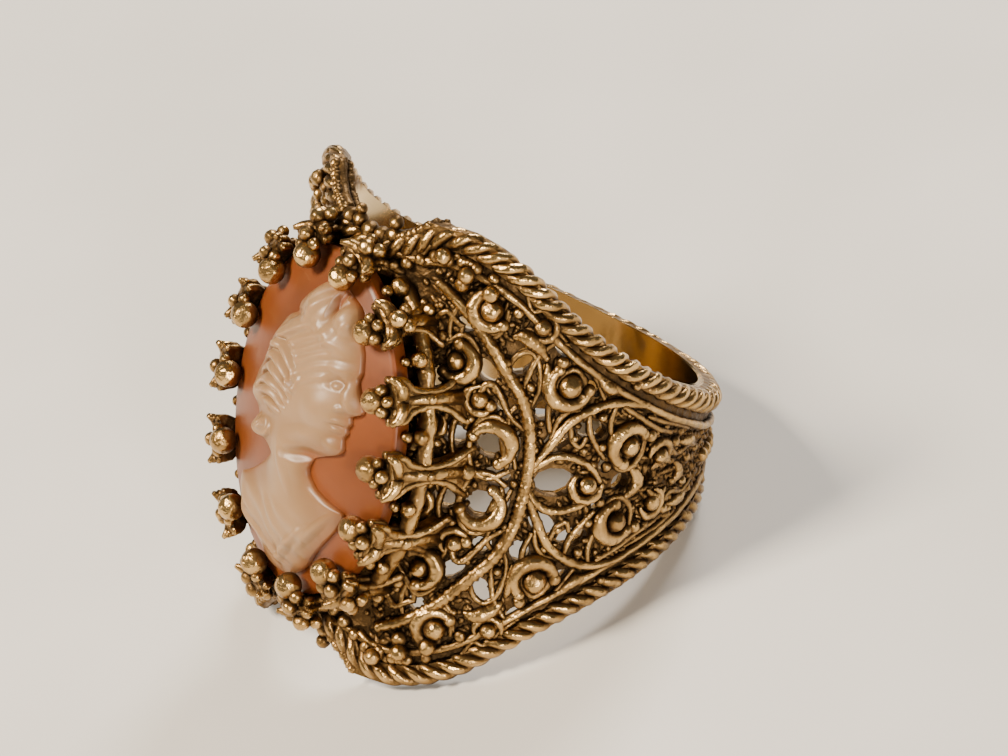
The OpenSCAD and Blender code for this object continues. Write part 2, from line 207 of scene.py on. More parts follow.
# Carving: height, left edge, right edge
OUTLINE = [
    (-7.6, -0.5, 0.4), (-7.3, -1.2, 1.2), (-6.9, -1.7, 1.7), (-6.4, -2.3, 2.2), (-5.6, -3.1, 2.7),
    (-4.8, -3.5, 3.3), (-4.3, -3.8, 3.7), (-3.95, -3.65, 3.95), (-3.6, -2.9, 4.15), (-3.25, -2.3, 4.35),
    (-2.95, -1.85, 4.4), (-2.75, -1.6, 3.5), (-2.4, -1.2, 2.6), (-1.9, -0.75, 2.1), (-1.6, -0.5, 2),
    (-1.45, -0.9, 2.03), (-1.35, -1.7, 2.05), (-1.15, -2.15, 2.15), (-0.9, -2.35, 2.3),
    (-0.5, -2.3, 3.1), (-0.2, -2.5, 3.75), (0.1, -3.05, 3.95), (0.45, -3.3, 3.85), (0.7, -3.35, 3.8),
    (0.95, -3.3, 4.02), (1.2, -3.2, 3.9), (1.45, -3.1, 4.1), (1.8, -2.9, 3.95), (2, -2.8, 4.4),
    (2.2, -2.7, 4.6), (2.5, -2.65, 4.45), (3.3, -2.45, 3.95), (3.6, -2.3, 3.85), (3.9, -2.15, 3.93),
    (4.5, -1.8, 3.75), (4.8, -1.55, 3.65), (5.1, -1.05, 3.45), (5.6, -1.1, 3.25), (6.2, -0.75, 3),
    (6.6, -0.35, 2.65), (6.8, -0.15, 2.2), (7, 0.1, 1.6), (7.2, 0.4, 1.1),
]
# Soft swellings and hollows: x, y, half width, half height, turn, height
SWELLINGS = [
    (0.4, 3, 4.6, 4.6, 0, 0.5), (2.6, 1.6, 1.4, 1.4, 0, 0.28), (3.2, 3.85, 0.9, 0.45, -10, 0.14),
    (2.1, 0.2, 1.7, 0.6, 15, 0.16), (3.5, 0.15, 0.6, 0.5, 0, 0.2), (3.05, 3.15, 0.8, 0.42, 0, -0.26),
    (3.1, 3.05, 0.4, 0.26, 0, 0.2), (3.95, 2.6, 0.5, 1, 20, 0.3), (3.6, 2.05, 0.3, 0.25, 0, 0.14),
    (3.7, 1.42, 0.5, 0.2, 0, 0.13), (3.65, 1, 0.45, 0.2, 0, 0.13), (3.5, 1.22, 0.55, 0.09, 0, -0.12),
    (0.8, 2.3, 0.45, 0.75, -10, 0.25), (0.88, 2.35, 0.22, 0.45, -10, -0.2),
    (2, -0.85, 1.7, 0.5, 12, -0.3), (0.6, -1.6, 1.8, 2.3, 15, 0.35), (0.8, -1.8, 0.4, 1.7, 25, 0.12),
    (0.6, -4.6, 3.2, 2.6, 0, 0.45), (-2.5, -4.9, 2, 1.8, 0, 0.4), (-1.3, -6.1, 3.2, 0.4, -22, 0.25),
    (1.3, -5.7, 2.4, 0.35, 48, 0.25), (2.8, -4.5, 2, 0.32, 52, 0.22), (2.2, 4.9, 1.7, 0.6, -15, 0.3),
    (2.6, 5.95, 1, 1, 0, 0.5), (0.4, 6.1, 1.1, 1.2, -15, 0.45), (1.5, 6.7, 0.35, 1.2, -8, -0.8),
    (-0.9, 5.1, 0.7, 0.3, 35, -0.25), (-0.6, 4.5, 2, 0.5, 36, 0.3), (-1.3, 3.5, 0.6, 1.2, -22, 0.25),
    (-0.5, 2.6, 1.6, 1.5, 12, 0.25), (-1.3, 1.4, 1.5, 0.7, 18, 0.25), (-2.4, 0.7, 1, 0.8, 0, 0.35),
    (-1.5, -0.75, 1.05, 0.7, 12, 0.6),
]
CARVE_BASE = 0.42

# Signs of the four quarters of the band: near and far side, upper and lower half
QUARTERS = [(1, 1), (1, -1), (-1, 1), (-1, -1)]


def look(value, table):
    """Value of a table of pairs between its rows."""
    if value <= table[0][0]:
        return table[0][1]
    for (a, u), (b, v) in zip(table, table[1:]):
        if value <= b:
            return u + (v - u) * (value - a) / (b - a)
    return table[-1][1]


def eased(value, table):
    """The same, with the corners of the table rounded."""
    span = (table[-1][0] - table[0][0]) / len(table) * 0.25
    return (look(value - span, table) + 2 * look(value, table) + look(value + span, table)) / 4


def edge_half(angle):
    angle = abs((angle + 180) % 360 - 180)
    share = (eased(angle, EDGE) + look(angle, EDGE)) / 2
    side = BACK_HALF + share * (EAR_HALF - BACK_HALF)
    x = PLATE_R * math.sin(math.radians(angle))
    if angle > 90 or x >= DIP_R:
        return side
    dip = DIP_H + DIP_R - math.sqrt(DIP_R ** 2 - x * x)
    soft = max(0.0, 1.2 - abs(side - dip)) / 1.2
    return min(side, dip) - 0.18 * soft * soft


def on_band(angle, z, r):
    a = math.radians(angle)
    return AT_REST @ Vector((r * math.sin(a), -r * math.cos(a), z)) * MM


def in_setting(x, y, z):
    return SETTING @ Vector((x, y, z)) * MM


def smooth_run(spots, steps):
    """Catmull-Rom run through spots given as tuples."""
    spots = [Vector(s) for s in spots]
    first, last = 2 * spots[0] - spots[1], 2 * spots[-1] - spots[-2]
    ends = [first] + spots + [last]
    out = []
    for i in range(1, len(ends) - 2):
        p, q, r, s = ends[i - 1:i + 3]
        for k in range(steps):
            t = k / steps
            out.append(0.5 * (2 * q + (r - p) * t + (2 * p - 5 * q + 4 * r - s) * t * t
                              + (3 * q - p - 3 * r + s) * t ** 3))
    out.append(spots[-1])
    return out


def oval(a, out):
    return ((CAMEO_W / 2 + out) * math.sin(a), (CAMEO_L / 2 + out) * math.cos(a))


def oval_angle(share):
    """Angle that cuts the oval at an equal share of its length."""
    steps = 720
    spots = [oval(2 * math.pi * i / steps, 0) for i in range(steps + 1)]
    runs = [0.0]
    for p, q in zip(spots, spots[1:]):
        runs.append(runs[-1] + math.hypot(q[0] - p[0], q[1] - p[1]))
    return look(share % 1 * runs[-1], [(r, 2 * math.pi * i / steps) for i, r in enumerate(runs)])


def outward(a):
    return math.atan2(CAMEO_L * math.sin(a), CAMEO_W * math.cos(a))


def dome(x, y):
    return RIM_H + DOME_RISE * (1 - (2 * x / CAMEO_W) ** 2 - (2 * y / CAMEO_L) ** 2)


def finish_piece(obj, material):
    """Puts a finished piece into the scene and onto the frame's body."""
    obj.data.materials.clear()
    obj.data.materials.append(material)
    obj.data.shade_smooth()
    if obj.name not in bpy.context.scene.collection.objects:
        bpy.context.scene.collection.objects.link(obj)
    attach(obj, "root")
    return obj


def solder(obj, material=None):
    """Finishes a piece of the metal."""
    finish_piece(obj, material or band_gold())


def piece_from(bm, name):
    mesh = bpy.data.meshes.new(name)
    bm.to_mesh(mesh)
    bm.free()
    return bpy.data.objects.new(name, mesh)


def tubes(name, runs, closed=False, sides=2, uneven=0.0):
    """Round wires along runs of (points, radii), as one mesh. Uneven is how far the radius wanders."""
    dice = random.Random(len(name))
    curve = bpy.data.curves.new(name + "_path", "CURVE")
    curve.dimensions = "3D"
    curve.bevel_depth = MM
    curve.bevel_resolution = sides
    curve.use_fill_caps = True
    for points, radii in runs:
        spline = curve.splines.new("POLY")
        spline.points.add(len(points) - 1)
        for spot, point, radius in zip(spline.points, points, radii):
            spot.co = (*point, 1)
            spot.radius = radius * (1 + dice.uniform(-uneven, uneven))
        spline.use_cyclic_u = closed
    holder = bpy.data.objects.new(name + "_holder", curve)
    mesh = bpy.data.meshes.new_from_object(holder)
    mesh.name = name
    bpy.data.objects.remove(holder)
    bpy.data.curves.remove(curve)
    bm = bmesh.new()
    bm.from_mesh(mesh)
    bmesh.ops.remove_doubles(bm, verts=bm.verts, dist=1e-7)
    bmesh.ops.recalc_face_normals(bm, faces=bm.faces)
    bm.to_mesh(mesh)
    bm.free()
    return bpy.data.objects.new(name, mesh)


def laid(angle, turn, stretch):
    """Turn and stretch of a lump that lies on the band."""
    a = math.radians(angle)
    flat = Matrix(((math.cos(a), 0, math.sin(a)), (math.sin(a), 0, -math.cos(a)), (0, 1, 0))).to_4x4()
    return AT_REST @ flat @ Matrix.Rotation(turn, 4, "Z") @ Matrix.Diagonal((*stretch, 1))


def balls(name, spots, detail=2):
    """Granules at (point, radius) or lumps at (point, radius, turn and stretch), as one mesh."""
    bm = bmesh.new()
    for point, radius, *shape in spots:
        matrix = Matrix.Translation(point)
        if shape:
            matrix = matrix @ shape[0]
        bmesh.ops.create_icosphere(bm, subdivisions=detail, radius=radius * MM, matrix=matrix)
    return piece_from(bm, name)


def clear_of(angle, z, table, margin):
    """Whether a spot on the band keeps clear of each round place of a table: angle, height, reach."""
    return all(math.hypot(math.radians(angle - row[0]) * PLATE_R, z - row[1]) > row[2] + margin
               for row in table)


def mark(obj, name, value):
    """Stores value(point) on every vertex."""
    layer = obj.data.attributes.new(name, "FLOAT", "POINT")
    layer.data.foreach_set("value", [value(v.co) for v in obj.data.vertices])


# Materials

def group_once(name, inputs, outputs):
    group = bpy.data.node_groups.get(name)
    if group:
        return group, False
    group = bpy.data.node_groups.new(name, "ShaderNodeTree")
    for label, kind, value in inputs:
        socket = group.interface.new_socket(label, in_out="INPUT", socket_type=kind)
        if value is not None:
            socket.default_value = value
    for label, kind in outputs:
        group.interface.new_socket(label, in_out="OUTPUT", socket_type=kind)
    return group, True


def noise(nodes, link, where, scale, detail):
    """Noise over the object's own coordinates."""
    made = nodes.new("ShaderNodeTexNoise")
    made.inputs["Scale"].default_value = scale
    made.inputs["Detail"].default_value = detail
    link(where.outputs["Object"], made.inputs["Vector"])
    return made


def cast_surface():
    """Grain of a cast and polished surface: a soft mask, a fine height and a tarnish mask."""
    group, new = group_once("Cast surface", [("Grain size", "NodeSocketFloat", 2200.0)],
                            [("Mask", "NodeSocketFloat"), ("Height", "NodeSocketFloat"),
                             ("Tarnish", "NodeSocketFloat")])
    if not new:
        return group
    n, link = group.nodes, group.links.new
    give, take = n.new("NodeGroupOutput"), n.new("NodeGroupInput")
    where = n.new("ShaderNodeTexCoord")
    coarse = noise(n, link, where, 600, 5)
    fine = noise(n, link, where, 2200, 4)
    spots = n.new("ShaderNodeTexVoronoi")
    spots.inputs["Scale"].default_value = 1500
    bands = n.new("ShaderNodeMapRange")
    bands.inputs["From Min"].default_value = 0.42
    bands.inputs["From Max"].default_value = 0.68
    link(where.outputs["Object"], spots.inputs["Vector"])
    link(take.outputs["Grain size"], fine.inputs["Scale"])
    link(coarse.outputs["Fac"], bands.inputs["Value"])
    pits = math_node(n, link, "ADD", fine.outputs["Fac"], spots.outputs["Distance"])
    link(coarse.outputs["Fac"], give.inputs["Mask"])
    link(pits, give.inputs["Height"])
    link(bands.outputs["Result"], give.inputs["Tarnish"])
    return group


def round_finger(nodes, link):
    """Object coordinates in the ring's own frame, their part across the finger, and its length."""
    where, turn = nodes.new("ShaderNodeTexCoord"), nodes.new("ShaderNodeMapping")
    turn.inputs["Rotation"].default_value = (TILT, 0, 0)
    flat, reach = nodes.new("ShaderNodeVectorMath"), nodes.new("ShaderNodeVectorMath")
    flat.operation, reach.operation = "MULTIPLY", "LENGTH"
    flat.inputs[1].default_value = (1, 1, 0)
    link(where.outputs["Object"], turn.inputs["Vector"])
    link(turn.outputs["Vector"], flat.inputs[0])
    link(flat.outputs["Vector"], reach.inputs[0])
    return turn.outputs["Vector"], flat.outputs["Vector"], reach.outputs["Value"]


def finger_radius():
    """Distance from the finger axis, from 0 at the low radius to 1 at the high one."""
    group, new = group_once("Finger radius",
                            [("Low", "NodeSocketFloat", 0.0099), ("High", "NodeSocketFloat", 0.0103)],
                            [("Share", "NodeSocketFloat")])
    if not new:
        return group
    n, link = group.nodes, group.links.new
    give, take = n.new("NodeGroupOutput"), n.new("NodeGroupInput")
    share = n.new("ShaderNodeMapRange")
    share.interpolation_type = "SMOOTHSTEP"
    link(round_finger(n, link)[2], share.inputs["Value"])
    link(take.outputs["Low"], share.inputs["From Min"])
    link(take.outputs["High"], share.inputs["From Max"])
    link(share.outputs["Result"], give.inputs["Share"])
    return group


def finger_hole():
    """Mask of the polished finger hole, short of the ear lobes, and the round normal of its wall."""
    group, new = group_once("Finger hole", [], [("Mask", "NodeSocketFloat"), ("Normal", "NodeSocketVector")])
    if not new:
        return group
    n, link = group.nodes, group.links.new
    give = n.new("NodeGroupOutput")
    own, flat, reach = round_finger(n, link)
    back = n.new("ShaderNodeMapping")
    back.inputs["Rotation"].default_value = (-TILT, 0, 0)
    apart = n.new("ShaderNodeSeparateXYZ")
    flip, unit = n.new("ShaderNodeVectorMath"), n.new("ShaderNodeVectorMath")
    flip.operation, unit.operation = "SCALE", "NORMALIZE"
    flip.inputs["Scale"].default_value = -1
    near, low = n.new("ShaderNodeMapRange"), n.new("ShaderNodeMapRange")
    for node, (start, end) in ((near, POLISH_OUT), (low, POLISH_UP)):
        node.inputs["From Min"].default_value = start
        node.inputs["From Max"].default_value = end
    world = n.new("ShaderNodeVectorTransform")
    world.vector_type, world.convert_from, world.convert_to = "NORMAL", "OBJECT", "WORLD"
    link(own, apart.inputs["Vector"])
    link(reach, near.inputs["Value"])
    link(math_node(n, link, "ABSOLUTE", apart.outputs["Z"]), low.inputs["Value"])
    link(math_node(n, link, "MULTIPLY", near.outputs["Result"], low.outputs["Result"]), give.inputs["Mask"])
    link(flat, back.inputs["Vector"])
    link(back.outputs["Vector"], flip.inputs[0])
    link(flip.outputs["Vector"], unit.inputs[0])
    link(unit.outputs["Vector"], world.inputs["Vector"])
    link(world.outputs["Vector"], give.inputs["Normal"])
    return group


def new_material(name):
    made = bpy.data.materials.new(name)
    made.use_nodes = True
    nodes = made.node_tree.nodes
    return made, nodes, made.node_tree.links.new, nodes["Principled BSDF"]


def ramp(nodes, stops):
    node = nodes.new("ShaderNodeValToRGB")
    node.color_ramp.elements[0].position, node.color_ramp.elements[0].color = stops[0][0], (*stops[0][1], 1)
    node.color_ramp.elements[1].position, node.color_ramp.elements[1].color = stops[-1][0], (*stops[-1][1], 1)
    for place, colour in stops[1:-1]:
        node.color_ramp.elements.new(place).color = (*colour, 1)
    return node


def math_node(nodes, link, operation, a, b=None, c=None):
    node = nodes.new("ShaderNodeMath")
    node.operation = operation
    for socket, value in zip(node.inputs, (a, b, c)):
        if isinstance(value, (int, float)):
            socket.default_value = value
        elif value is not None:
            link(value, socket)
    return node.outputs["Value"]


def bumpy(nodes, link, height, strength, distance):
    """Normal of a surface with a fine height."""
    node = nodes.new("ShaderNodeBump")
    node.inputs["Strength"].default_value = strength
    node.inputs["Distance"].default_value = distance
    link(height, node.inputs["Height"])
    return node.outputs["Normal"]


def aged_and_shaded_gold(name, low, high, rough, attribute=None, polished_bore=False):
    """Antique gold: pale and bright where it stands proud, brown in its recesses, with painted shade there.
    """
    if name in bpy.data.materials:
        return bpy.data.materials[name]
    colours = bpy.context.scene.ring_colours
    made, nodes, link, shader = new_material(name)
    cast = nodes.new("ShaderNodeGroup")
    cast.node_tree = cast_surface()
    # Ambient occlusion: painted shade, darker in recesses and between parts
    shade = nodes.new("ShaderNodeAmbientOcclusion")
    shade.samples = 8
    shade.inputs["Distance"].default_value = 0.0009
    if attribute:
        proud = nodes.new("ShaderNodeAttribute")
        proud.attribute_name = attribute
        share = proud.outputs["Fac"]
    else:
        proud = nodes.new("ShaderNodeGroup")
        proud.node_tree = finger_radius()
        proud.inputs["Low"].default_value = low
        proud.inputs["High"].default_value = high
        share = proud.outputs["Share"]
    grimy = math_node(nodes, link, "MULTIPLY", cast.outputs["Tarnish"], 0.26)
    normal = bumpy(nodes, link, cast.outputs["Height"], 0.8, 0.00016 if polished_bore else 0.00012)
    dull = nodes.new("ShaderNodeMapRange")
    dull.inputs["To Min"].default_value = rough + 0.3
    dull.inputs["To Max"].default_value = rough
    roughness = dull.outputs["Result"]
    if polished_bore:
        inner = nodes.new("ShaderNodeGroup")
        inner.node_tree = finger_hole()
        share = math_node(nodes, link, "MAXIMUM", share, inner.outputs["Mask"])
        plain = math_node(nodes, link, "SUBTRACT", 1.0, inner.outputs["Mask"])
        grimy = math_node(nodes, link, "MULTIPLY", grimy, plain)
        roughness = math_node(nodes, link, "MULTIPLY_ADD", inner.outputs["Mask"], -0.1, roughness)
        smooth = nodes.new("ShaderNodeMix")
        smooth.data_type = "VECTOR"
        link(inner.outputs["Mask"], smooth.inputs["Factor"])
        link(normal, smooth.inputs[4])
        link(inner.outputs["Normal"], smooth.inputs[5])
        normal = smooth.outputs[1]
    # Painted shade: the occlusion darkens the colour
    open_air = math_node(nodes, link, "POWER", shade.outputs["AO"], 1.7)
    raised = math_node(nodes, link, "MULTIPLY_ADD", share, 0.6, 0.4)
    lit = math_node(nodes, link, "MULTIPLY", raised, open_air)
    # Painted shade, patina of the low parts and tarnish together set the colour and the roughness
    worn_and_shaded = math_node(nodes, link, "SUBTRACT", lit, grimy)
    tint = ramp(nodes, [(0.0, colours.patina_and_shade), (0.34, colours.shadow_gold), (0.68, colours.gold),
                        (1.0, colours.pale_gold)])
    link(worn_and_shaded, tint.inputs["Fac"])
    link(worn_and_shaded, dull.inputs["Value"])
    colour = tint.outputs["Color"]
    if polished_bore:
        wall = nodes.new("ShaderNodeMix")
        wall.data_type = "RGBA"
        link(inner.outputs["Mask"], wall.inputs["Factor"])
        link(colour, wall.inputs[6])
        wall.inputs[7].default_value = (0.74, 0.56, 0.31, 1)
        colour = wall.outputs[2]
    link(colour, shader.inputs["Base Color"])
    shader.inputs["Metallic"].default_value = 1.0
    link(roughness, shader.inputs["Roughness"])
    link(normal, shader.inputs["Normal"])
    return made


def shell_material(name, stops, attribute, rough, bump_height, sub):
    """Carved shell: softly lit from inside, with faint growth clouds."""
    made, nodes, link, shader = new_material(name)
    where = nodes.new("ShaderNodeTexCoord")
    clouds = noise(nodes, link, where, 260, 4)
    amount = clouds.outputs["Fac"]
    if attribute:
        thick = nodes.new("ShaderNodeAttribute")
        thick.attribute_name = attribute
        amount = math_node(nodes, link, "MULTIPLY_ADD", amount, 0.35, thick.outputs["Fac"])
        amount = math_node(nodes, link, "SUBTRACT", amount, 0.17)
    tint = ramp(nodes, stops)
    link(amount, tint.inputs["Fac"])
    link(tint.outputs["Color"], shader.inputs["Base Color"])
    grain = noise(nodes, link, where, 2600, 3)
    link(bumpy(nodes, link, grain.outputs["Fac"], 0.3, bump_height), shader.inputs["Normal"])
    shader.inputs["Roughness"].default_value = rough
    shader.inputs["Subsurface Weight"].default_value = sub
    shader.inputs["Subsurface Radius"].default_value = (1.0, 0.55, 0.35)
    shader.inputs["Subsurface Scale"].default_value = 0.0006
    return made


def band_gold():
    return aged_and_shaded_gold("Wire gold", 0.00975, 0.0102, 0.26)


class RingSizes(bpy.types.PropertyGroup):
    """Sizes of the fine pieces."""

    rope_strand: bpy.props.FloatProperty(name="Rope strand", description="Radius of one strand, in mm",
                                         default=0.28, min=0.2, max=0.4)
    rope_pitch: bpy.props.FloatProperty(name="Rope pitch", description="Length of one full twist, in mm",
                                        default=2.5, min=1.4, max=4)
    granule_r: bpy.props.FloatProperty(name="Granule", description="Radius of the scattered granules, in mm",
                                       default=0.23, min=0.1, max=0.4)
    seed: bpy.props.IntProperty(name="Seed", description="Start of the granules' scatter", default=7)


def tint_setting(name, description, default):
    """A colour among the settings."""
    return bpy.props.FloatVectorProperty(name=name, description=description, subtype="COLOR",
                                         default=default, min=0, max=1)


class RingColours(bpy.types.PropertyGroup):
    """Colours of the metal and the shell."""

    gold: tint_setting("Gold", "Colour of the worn metal", (0.26, 0.15, 0.052))
    pale_gold: tint_setting("Pale gold", "Colour of the polished high spots", (0.64, 0.415, 0.165))
    shadow_gold: tint_setting("Shadow gold", "Colour between gold and patina", (0.145, 0.082, 0.031))
    # The patina brown is also painted shade: the gold's ambient occlusion darkens recesses and joins towards
    # it
    patina_and_shade: tint_setting("Patina", "Brown of the recesses", (0.052, 0.031, 0.014))
    shell: tint_setting("Shell", "Orange ground of the cameo", (0.17, 0.043, 0.0075))
    carving: tint_setting("Carving", "Pale layer of the cameo", (0.25, 0.137, 0.062))


class RING_OT_stage(bpy.types.Operator):
    """Makes the floor, the soft lights and the camera at the photograph's angle."""

    bl_idname = "ring.stage"
    bl_label = "Stage"

    def execute(self, context):
        scene = context.scene
        floor_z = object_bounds()[0].z
        bm = bmesh.new()
        bmesh.ops.create_grid(bm, x_segments=8, y_segments=8, size=0.6,
                              matrix=Matrix.Translation((0, 0, floor_z - FLOOR_GAP)))
        floor = piece_from(bm, "floor")
        made, nodes, link, shader = new_material("Pale floor")
        where = nodes.new("ShaderNodeTexCoord")
        grain = noise(nodes, link, where, 60, 2)
        tint = ramp(nodes, [(0.3, (0.68, 0.66, 0.63)), (0.7, (0.74, 0.72, 0.69))])
        link(grain.outputs["Fac"], tint.inputs["Fac"])
        link(tint.outputs["Color"], shader.inputs["Base Color"])
        shader.inputs["Roughness"].default_value = 0.7
        floor.data.materials.append(made)
        scene.collection.objects.link(floor)
        floor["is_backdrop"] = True
        world = bpy.data.worlds.new("Studio")
        world.use_nodes = True
        world.node_tree.nodes["Background"].inputs["Color"].default_value = (0.8, 0.76, 0.7, 1)
        world.node_tree.nodes["Background"].inputs["Strength"].default_value = 0.16
        scene.world = world
        for name, spot, size, watts, colour in (
                ("key", (-0.05, -0.2, 0.26), 0.09, 2.3, (1, 0.86, 0.67)),
                ("side", (0.3, -0.1, 0.1), 0.06, 0.9, (1, 0.9, 0.78)),
                ("back", (-0.12, 0.25, 0.2), 0.1, 1.3, (1, 0.94, 0.86))):
            lamp = bpy.data.lights.new(name, "AREA")
            lamp.energy, lamp.size, lamp.color = watts, size, colour
            holder = bpy.data.objects.new(name, lamp)
            holder.location = spot
            holder.rotation_mode = "QUATERNION"
            holder.rotation_quaternion = (-Vector(spot)).to_track_quat("-Z", "Y")
            scene.collection.objects.link(holder)
        self.camera(scene)
        return {"FINISHED"}

    def camera(self, scene):
        """Camera fitted to the ring in its own frame, then carried with it to the resting frame."""
        turn, climb, roll = math.radians(51.3), math.radians(19.5), math.radians(10.3)
        pixels_per_mm, distance, slide_x, slide_y = 21.03, 375.0, 0.21, 1.23
        back = Vector((math.sin(turn) * math.cos(climb), -math.cos(turn) * math.cos(climb), math.sin(climb)))
        right = Vector((math.cos(turn), math.sin(turn), 0))
        up = back.cross(right)
        side = math.cos(roll) * right + math.sin(roll) * up
        top = -math.sin(roll) * right + math.cos(roll) * up
        place = back * distance + side * slide_x + top * slide_y
        eye = bpy.data.cameras.new("camera")
        eye.sensor_width = 36
        eye.lens = pixels_per_mm * distance / PICTURE_WIDE * eye.sensor_width
        eye.clip_start, eye.clip_end = 0.01, 5
        holder = bpy.data.objects.new("camera", eye)
        holder.matrix_world = AT_REST @ Matrix((
            (side.x, top.x, back.x, place.x * MM), (side.y, top.y, back.y, place.y * MM),
            (side.z, top.z, back.z, place.z * MM), (0, 0, 0, 1)))
        scene.collection.objects.link(holder)
        scene.camera = holder


class RING_OT_metal(bpy.types.Operator):
    """Gives the soldered metal its aged gold, with painted shade in its recesses."""

    bl_idname = "ring.metal"
    bl_label = "Band and setting"

    def execute(self, context):
        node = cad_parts["ring_body"]
        gold = aged_and_shaded_gold("Aged and shaded gold", 0.00988, 0.01018, 0.24, polished_bore=True)
        for slot in node.material_slots:
            slot.material = gold
        return {"FINISHED"}


class RING_OT_ropes(bpy.types.Operator):
    """Twists three strands round the rail on each edge of the band."""

    bl_idname = "ring.ropes"
    bl_label = "Rope edges"

    def execute(self, context):
        sizes = context.scene.ring_sizes
        centre, runs = [], []
        steps = 1440
        for up in (1, -1):
            line = [on_band(360 * i / steps, up * edge_half(360 * i / steps), ROPE_TRACK)
                    for i in range(steps)]
            total = sum((line[(i + 1) % steps] - line[i]).length for i in range(steps)) / MM
            turns = round(total / sizes.rope_pitch)
            run = 0.0
            strands = [[], [], []]
            for i in range(steps):
                along = (line[(i + 1) % steps] - line[i - 1]).normalized()
                a = math.radians(360 * i / steps)
                out = AT_REST.to_3x3() @ Vector((math.sin(a), -math.cos(a), 0))
                out = (out - along * out.dot(along)).normalized()
                side = along.cross(out)
                if i % 2 == 0:
                    for k, strand in enumerate(strands):
                        twist = -up * 2 * math.pi * turns * run / total + 2 * math.pi * k / len(strands)
                        lean = out * math.cos(twist) + side * math.sin(twist)
                        strand.append(line[i] + lean * STRAND_OFFSET * MM)
                run += (line[(i + 1) % steps] - line[i]).length / MM
            for strand in strands:
                runs.append((strand, [sizes.rope_strand] * len(strand)))
            centre += line
        rope = tubes("rope_edges", runs, closed=True)
        tree = KDTree(len(centre))
        for i, point in enumerate(centre):
            tree.insert(point, i)
        tree.balance()
        outer = STRAND_OFFSET + sizes.rope_strand
        # The rope is darker within this distance of its core, in the crevices between its strands
        worn_and_shaded, rise = 0.3, outer - 0.36
        mark(rope, "proud", lambda p: min(1.0, max(0.0, (tree.find(p)[2] / MM - worn_and_shaded) / rise)))
        finish_piece(rope, aged_and_shaded_gold("Rope gold", 0, 0, 0.22, attribute="proud"))
        return {"FINISHED"}


class RING_OT_scrolls(bpy.types.Operator):
    """Lays the branching wires, the leaves and the cups on the band."""

    bl_idname = "ring.scrolls"
    bl_label = "Scroll wires"

    def execute(self, context):
        runs = []
        for side, up in QUARTERS:
            for radius, spots in WIRES:
                line = smooth_run(spots, 9)
                reach = len(line) - 1
                ridge = 0.11 if radius > 0.3 else 0.04
                runs.append(([on_band(side * p.x, up * p.y, PLATE_R + radius * 0.55) for p in line],
                             [radius * (1 - 0.25 * abs(2 * i / reach - 1) ** 3) * (1 + ridge * (-1) ** i)
                              for i in range(reach + 1)]))
            border = [24 + 2 * i for i in range(79)]
            line = [(side * a, up * max(0.75, edge_half(a) - BORDER_IN)) for a in border]
            runs.append(([on_band(a, z, PLATE_R + 0.12) for a, z in line], [0.21] * len(line)))
        solder(tubes("scroll_wires", runs, uneven=0.09))

        leaves = []
        for side, up in QUARTERS:
            for half, spots in LEAVES:
                leaves.append(self.leaf(half, side, up, smooth_run(spots, 9), 0.12))
        for side in (1, -1):
            for half, angle, bow, tall in CRESCENTS:
                line = smooth_run([(angle - bow, tall), (angle, tall * 0.5), (angle + bow * 0.4, 0),
                                   (angle, -tall * 0.5), (angle - bow, -tall)], 5)
                leaves.append(self.leaf(half, side, 1, line, 0.1))
        solder(tubes("leaves", leaves, uneven=0.08))

        curls, cups, beads = [], [], []
        dice = random.Random(3)
        for side, up in QUARTERS:
            for angle, z, radius, turn in CURLS:
                # The solid's curls are drawn with their heights upside down
                ring = [math.radians(-turn + CURL_OPEN + (360 - 2 * CURL_OPEN) * k / 26) for k in range(27)]
                curls.append(([self.round_cup(side, up, angle, z, radius, t) for t in ring],
                              [0.26 + 0.15 * math.sin(math.pi * k / 26) ** 2 for k in range(27)]))
                for turn, reach in ((ring[0], 0.3), (ring[-1], 0.34)):
                    beads.append((self.round_cup(side, up, angle, z, radius, turn), reach))
            for angle, z, radius in CUPS:
                if z == 0 and up < 0:
                    continue
                start, reach = dice.uniform(0, 360), dice.choice((200, 230, 260))
                ring = [math.radians(start + reach * k / 20) for k in range(21)]
                wide = 0.23 * (radius / 0.66)
                line = [self.round_cup(side, up, angle, z, radius * dice.uniform(0.96, 1.04), t)
                        for t in ring]
                cups.append((line, [wide * (0.35 + 0.65 * min(1, k / 5, (20 - k) / 5)) for k in range(21)]))
        solder(tubes("curls", curls, sides=3, uneven=0.04))
        solder(tubes("cups", cups, uneven=0.1))
        solder(balls("curl_beads", beads))
        return {"FINISHED"}

    def leaf(self, half, side, up, line, rise):
        """Run of a leaf on the band, thick in the middle and thin at both ends."""
        reach = len(line) - 1
        return ([on_band(side * p.x, up * p.y, PLATE_R + rise) for p in line],
                [half * (0.25 + 0.75 * math.sin(math.pi * i / reach)) for i in range(reach + 1)])

    def round_cup(self, side, up, angle, z, radius, turn):
        """Point of a cup's wire on the band, at a turn round the cup."""
        return on_band(side * (angle + math.degrees(radius / PLATE_R) * math.cos(turn)),
                       up * (z + radius * math.sin(turn)), PLATE_R + 0.2)


